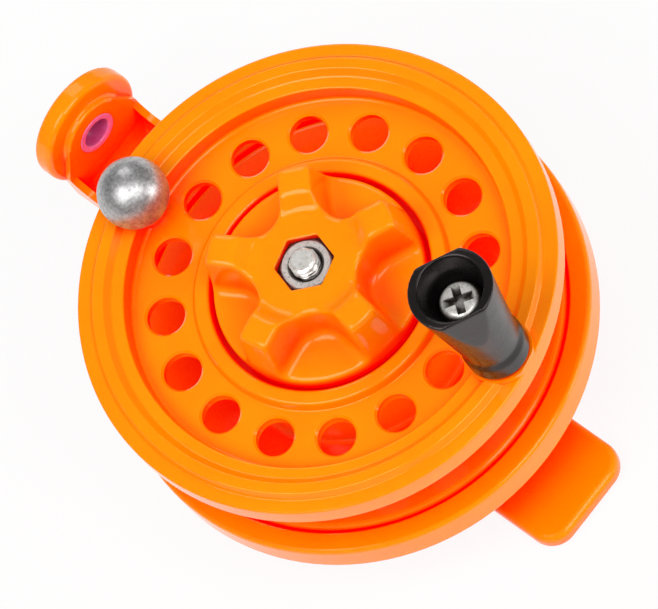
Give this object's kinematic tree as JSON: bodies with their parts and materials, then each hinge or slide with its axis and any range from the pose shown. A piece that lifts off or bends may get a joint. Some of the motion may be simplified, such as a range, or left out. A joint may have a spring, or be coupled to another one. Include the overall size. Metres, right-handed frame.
{
  "type": "ice fishing reel",
  "caption": "Small open reel for ice fishing: spool on a fixed axle with a cranked grip, counterweight ball, star drag knob, line nose and a foot for the rod.",
  "frame": {"origin": "on the spool axis at the foot's back face, where the reel rests on the rod", "axes": "+Z along the spool axis away from the rod, +Y along the rod towards the nose"},
  "size_m": [0.065, 0.0845, 0.0563],
  "materials": {
    "orange_plastic": "gloss",
    "pink_ring": "gloss",
    "steel": "bright",
    "ball_steel": "worn polish",
    "bearing_brass": "turned",
    "felt": "pressed felt",
    "black_plastic": "semi gloss"
  },
  "bodies": {
    "frame": {"frame": "orange_plastic", "line_eyelet": "pink_ring", "axle_bolt": "steel", "lock_washer": "steel", "axle_locknut": "steel", "axle_washer": "steel"},
    "spool": {"spool": "orange_plastic", "spool_bush": "bearing_brass", "brake_felt": "felt", "handle_screw": "steel", "handle_sleeve": "bearing_brass", "handle_washer": "steel", "counterweight_ball": "ball_steel", "counterweight_screw": "steel"},
    "grip": {"handle_grip": "black_plastic"},
    "drag_carrier": {"pressure_washer": "steel", "drag_spring": "steel", "spring_cap": "steel"},
    "knob": {"star_knob": "orange_plastic", "knob_nut": "steel"}
  },
  "joints": [
    {"name": "spool_spin", "type": "hinge", "parent": "frame", "child": "spool", "pos_m": [0, 0, 0.023], "axis": [0, 0, 1], "continuous": true},
    {"name": "grip_spin", "type": "hinge", "parent": "spool", "child": "grip", "pos_m": [0.00565, -0.02763, 0.045], "axis": [0, 0, 1], "continuous": true},
    {"name": "drag_lift", "type": "slide", "parent": "frame", "child": "drag_carrier", "axis": [0, 0, 1], "range_m": [0, 0.00071]},
    {"name": "drag_turn", "type": "hinge", "parent": "drag_carrier", "child": "knob", "pos_m": [0, 0, 0.035], "axis": [0, 0, 1], "range_deg": [0, 360]}
  ],
  "couplings": [
    {"joint": "drag_lift", "follows": "drag_turn", "m_per_rad": 0.00011141}
  ]
}
